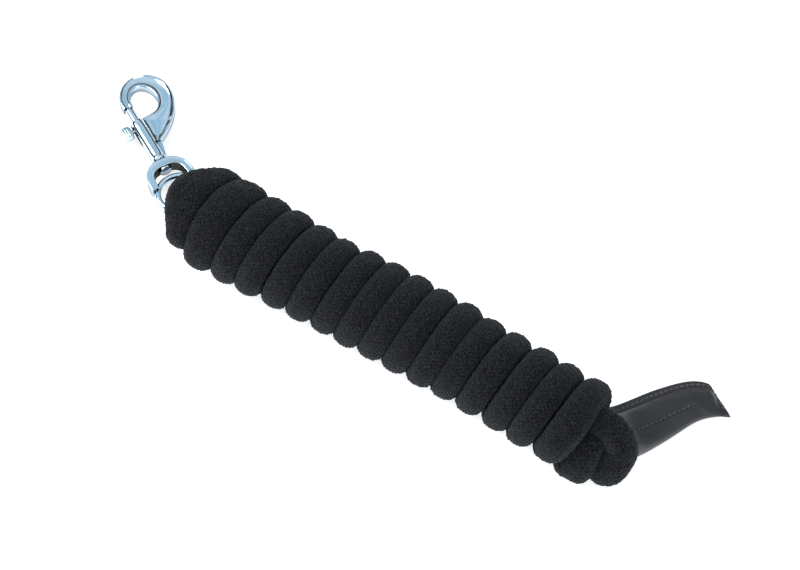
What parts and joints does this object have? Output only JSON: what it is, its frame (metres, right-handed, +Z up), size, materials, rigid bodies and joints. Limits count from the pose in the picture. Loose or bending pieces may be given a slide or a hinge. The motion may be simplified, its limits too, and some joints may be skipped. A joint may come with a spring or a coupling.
{
  "type": "lead rope",
  "caption": "Black braided horse lead rope wound into a hank, with a chrome swivel bolt snap and a stitched leather popper",
  "frame": {"origin": "centre of the wound hank's flat underside, on the surface that the lead lies on", "axes": "+X runs along the hank from the snap to the popper, +Y across it to the side where the popper points, +Z up"},
  "size_m": [0.4895, 0.1251, 0.061],
  "materials": {
    "rope": "soft braided cotton, matte black",
    "leather": "black, satin",
    "thread": "waxed brown thread",
    "chrome": "polished plating over cast zinc",
    "spring_steel": "drawn wire",
    "clamp_steel": "nickel-plated band"
  },
  "bodies": {
    "lead": {"rope_hank": "rope", "rope_eye": "rope", "eye_clamp": "clamp_steel", "rope_end_loop": "rope", "rope_tail": "rope", "popper_sleeve": "leather", "popper_edge_stitching": "thread", "popper_centre_stitching": "thread"},
    "swivel": {"swivel_eye": "chrome"},
    "snap": {"hook_body": "chrome", "swivel_post": "chrome", "bolt_spring": "spring_steel"},
    "gate": {"gate_bolt": "chrome", "thumb_stud": "chrome"}
  },
  "joints": [
    {"name": "eye_tilt", "type": "hinge", "parent": "lead", "child": "swivel", "pos_m": [-0.16207, 0.00222, 0.01608], "axis": [0.4879, 0.8729, 0], "range_deg": [-45, 60]},
    {"name": "swivel_spin", "type": "hinge", "parent": "swivel", "child": "snap", "pos_m": [-0.2014, 0.0242, 0.01135], "axis": [-0.8681, 0.4852, -0.1045], "continuous": true},
    {"name": "bolt_slide", "type": "slide", "parent": "snap", "child": "gate", "axis": [0.8681, -0.4852, 0.1045], "range_m": [0, 0.0125], "stiffness_N_per_m": 350, "springref_m": -0.008, "deforming": ["bolt_spring"]}
  ]
}
